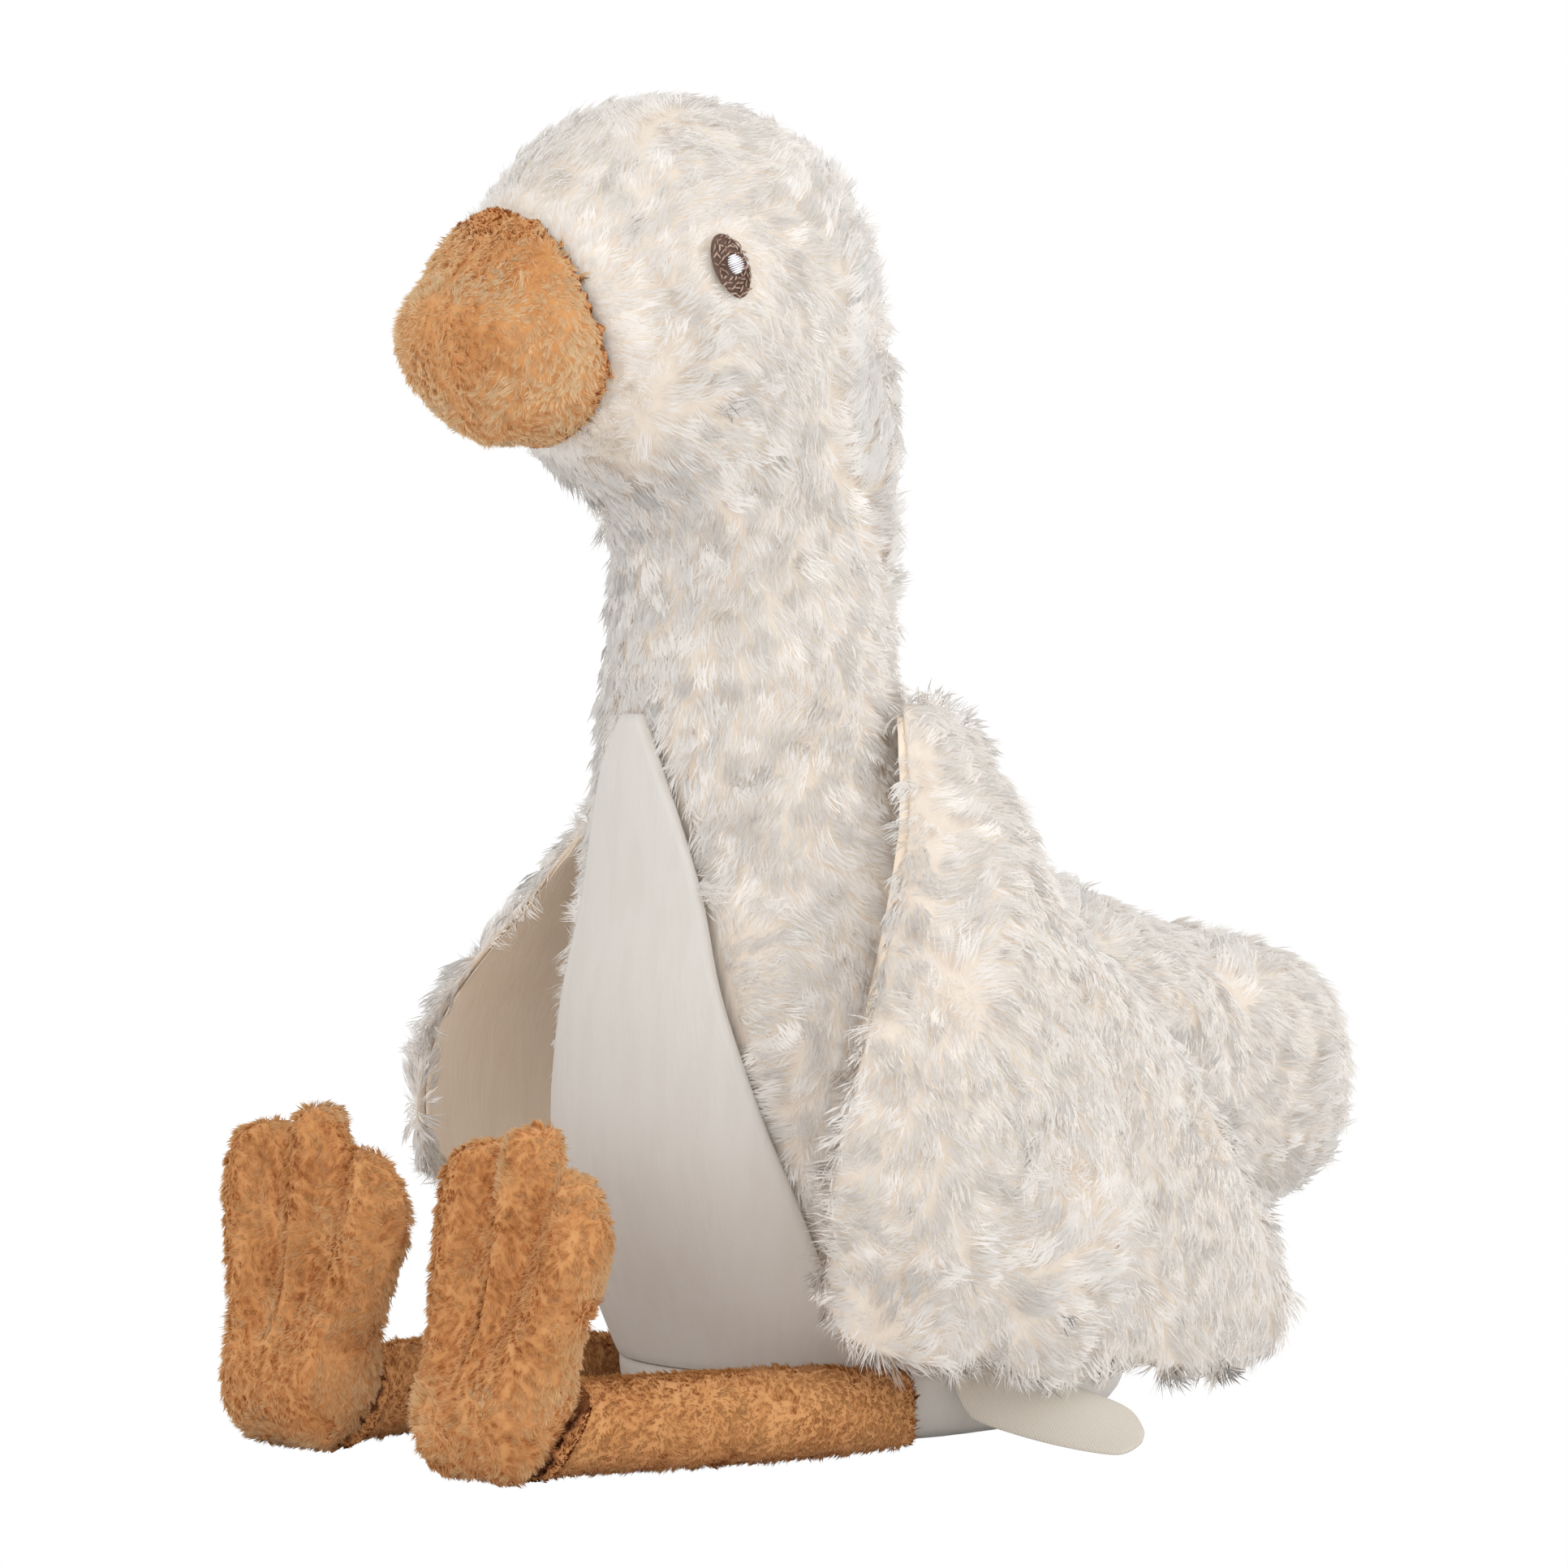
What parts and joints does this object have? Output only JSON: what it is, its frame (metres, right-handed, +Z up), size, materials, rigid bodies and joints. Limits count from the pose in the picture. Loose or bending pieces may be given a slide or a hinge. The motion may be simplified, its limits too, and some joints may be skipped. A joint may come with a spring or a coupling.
{
  "type": "plush goose",
  "caption": "Seated plush goose in long curly pile, with a short-pile breast, channelled wings, a stuffed beak and webbed feet on soft legs.",
  "frame": {"origin": "middle of the base panel's flat underside, on the surface that the goose sits on", "axes": "+Z up through the neck and head, -Y the way the beak points, +X towards the goose's left wing"},
  "size_m": [0.1465, 0.2243, 0.2338],
  "materials": {
    "long_pile": "curly long-pile plush",
    "velour": "smooth short-pile velour",
    "short_pile": "short dense pile",
    "brown_thread": "satin-stitch embroidery",
    "white_thread": "satin-stitch embroidery",
    "ribbon": "woven twill ribbon"
  },
  "bodies": {
    "root": {"torso": "long_pile", "belly_panel": "velour", "base_panel": "velour", "beak": "short_pile", "eye_left": "brown_thread", "eye_right": "brown_thread", "eye_left_highlight": "white_thread", "eye_right_highlight": "white_thread", "wing_left": "long_pile", "wing_right": "long_pile", "wing_left_lining": "velour", "wing_right_lining": "velour", "leg_left": "short_pile", "leg_right": "short_pile", "foot_left": "short_pile", "foot_right": "short_pile", "label": "ribbon"}
  },
  "joints": []
}
